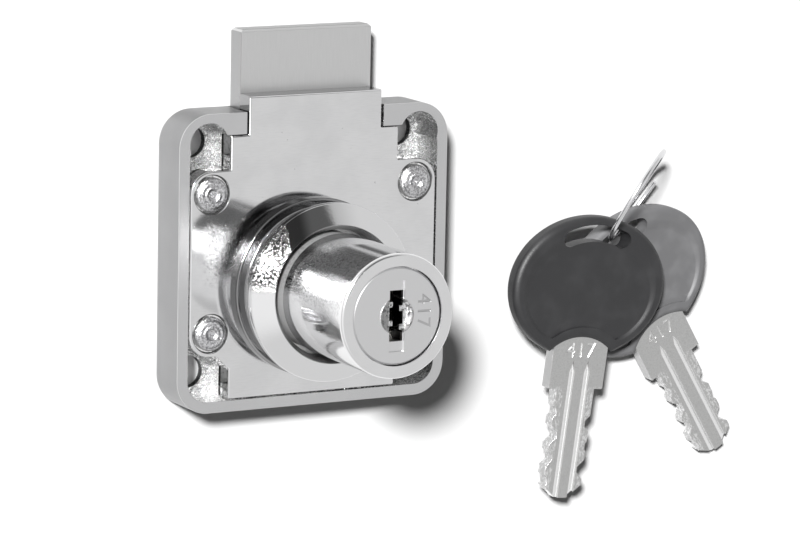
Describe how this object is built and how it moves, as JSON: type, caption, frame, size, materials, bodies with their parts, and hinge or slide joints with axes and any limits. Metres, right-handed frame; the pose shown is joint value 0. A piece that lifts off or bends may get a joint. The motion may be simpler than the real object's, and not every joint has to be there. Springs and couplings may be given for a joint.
{
  "type": "drawer lock",
  "caption": "Square chromed rim lock for a drawer, with a wafer cylinder in a long barrel, a sliding bolt, a loose rosette and two keys on a ring.",
  "frame": {"origin": "on the back face of the case, where the cylinder's axis meets it", "axes": "+Z along the cylinder's axis, out of the face; +Y the way the bolt is thrown; +X to the right, seen from the front"},
  "size_m": [0.0904, 0.0677, 0.031],
  "materials": {
    "chrome": "bright plated zinc casting",
    "satin_nickel": "satin",
    "rivet_steel": "bright, set with a punch",
    "brass": "stamped",
    "spring_steel": "bright drawn wire",
    "nickel_silver": "milled and nickel plated",
    "bow_plastic": "fine textured moulding"
  },
  "bodies": {
    "lock_body": {"housing": "chrome", "cover_plate": "chrome", "cover_rivets": "rivet_steel", "cylinder_sleeve": "chrome"},
    "bolt": {"bolt": "satin_nickel"},
    "plug": {"plug": "chrome", "drive_cam": "satin_nickel", "retaining_wafer": "brass", "wafer_spring_1": "spring_steel", "wafer_spring_2": "spring_steel", "wafer_spring_3": "spring_steel", "wafer_spring_4": "spring_steel", "wafer_spring_5": "spring_steel", "wafer_spring_6": "spring_steel", "wafer_spring_7": "spring_steel"},
    "wafer_1_body": {"wafer_1": "brass"},
    "wafer_2_body": {"wafer_2": "brass"},
    "wafer_3_body": {"wafer_3": "brass"},
    "wafer_4_body": {"wafer_4": "brass"},
    "wafer_5_body": {"wafer_5": "brass"},
    "wafer_6_body": {"wafer_6": "brass"},
    "wafer_7_body": {"wafer_7": "brass"},
    "rosette": {"rosette": "chrome"},
    "spare_key": {"spare_key_blade": "nickel_silver", "spare_key_bow": "bow_plastic"},
    "key_ring": {"key_ring": "spring_steel"},
    "main_key": {"main_key_blade": "nickel_silver", "main_key_bow": "bow_plastic"}
  },
  "joints": [
    {"name": "plug_turn", "type": "hinge", "parent": "lock_body", "child": "plug", "pos_m": [0, 0, 0.02], "axis": [0, 0, 1], "range_deg": [0, 180]},
    {"name": "bolt_slide", "type": "slide", "parent": "lock_body", "child": "bolt", "axis": [0, 1, 0], "range_m": [-0.0084, 0]},
    {"name": "rosette_slide", "type": "slide", "parent": "lock_body", "child": "rosette", "axis": [0, 0, 1], "range_m": [0, 0.016]},
    {"name": "wafer_1_slide", "type": "slide", "parent": "plug", "child": "wafer_1_body", "axis": [0, 1, 0], "range_m": [0, 0.0008]},
    {"name": "wafer_2_slide", "type": "slide", "parent": "plug", "child": "wafer_2_body", "axis": [0, -1, 0], "range_m": [0, 0.0008]},
    {"name": "wafer_3_slide", "type": "slide", "parent": "plug", "child": "wafer_3_body", "axis": [0, 1, 0], "range_m": [0, 0.0008]},
    {"name": "wafer_4_slide", "type": "slide", "parent": "plug", "child": "wafer_4_body", "axis": [0, -1, 0], "range_m": [0, 0.0008]},
    {"name": "wafer_5_slide", "type": "slide", "parent": "plug", "child": "wafer_5_body", "axis": [0, 1, 0], "range_m": [0, 0.0008]},
    {"name": "wafer_6_slide", "type": "slide", "parent": "plug", "child": "wafer_6_body", "axis": [0, -1, 0], "range_m": [0, 0.0008]},
    {"name": "wafer_7_slide", "type": "slide", "parent": "plug", "child": "wafer_7_body", "axis": [0, 1, 0], "range_m": [0, 0.0008]},
    {"name": "spare_key_lift", "type": "slide", "parent": "lock_body", "child": "spare_key", "axis": [0, 0, 1], "range_m": [0, 0.03]},
    {"name": "key_ring_swing", "type": "hinge", "parent": "spare_key", "child": "key_ring", "pos_m": [0.04976, 0.003, 0.00316], "axis": [0.0324, -0.0518, 0.9981], "range_deg": [-10, 10]},
    {"name": "main_key_swing", "type": "hinge", "parent": "key_ring", "child": "main_key", "pos_m": [0.04709, 0.00303, 0.00608], "axis": [0.0324, -0.0518, 0.9981], "range_deg": [-20, 15]}
  ],
  "couplings": [
    {"joint": "bolt_slide", "follows": "plug_turn", "m_per_rad": -0.0026738}
  ]
}
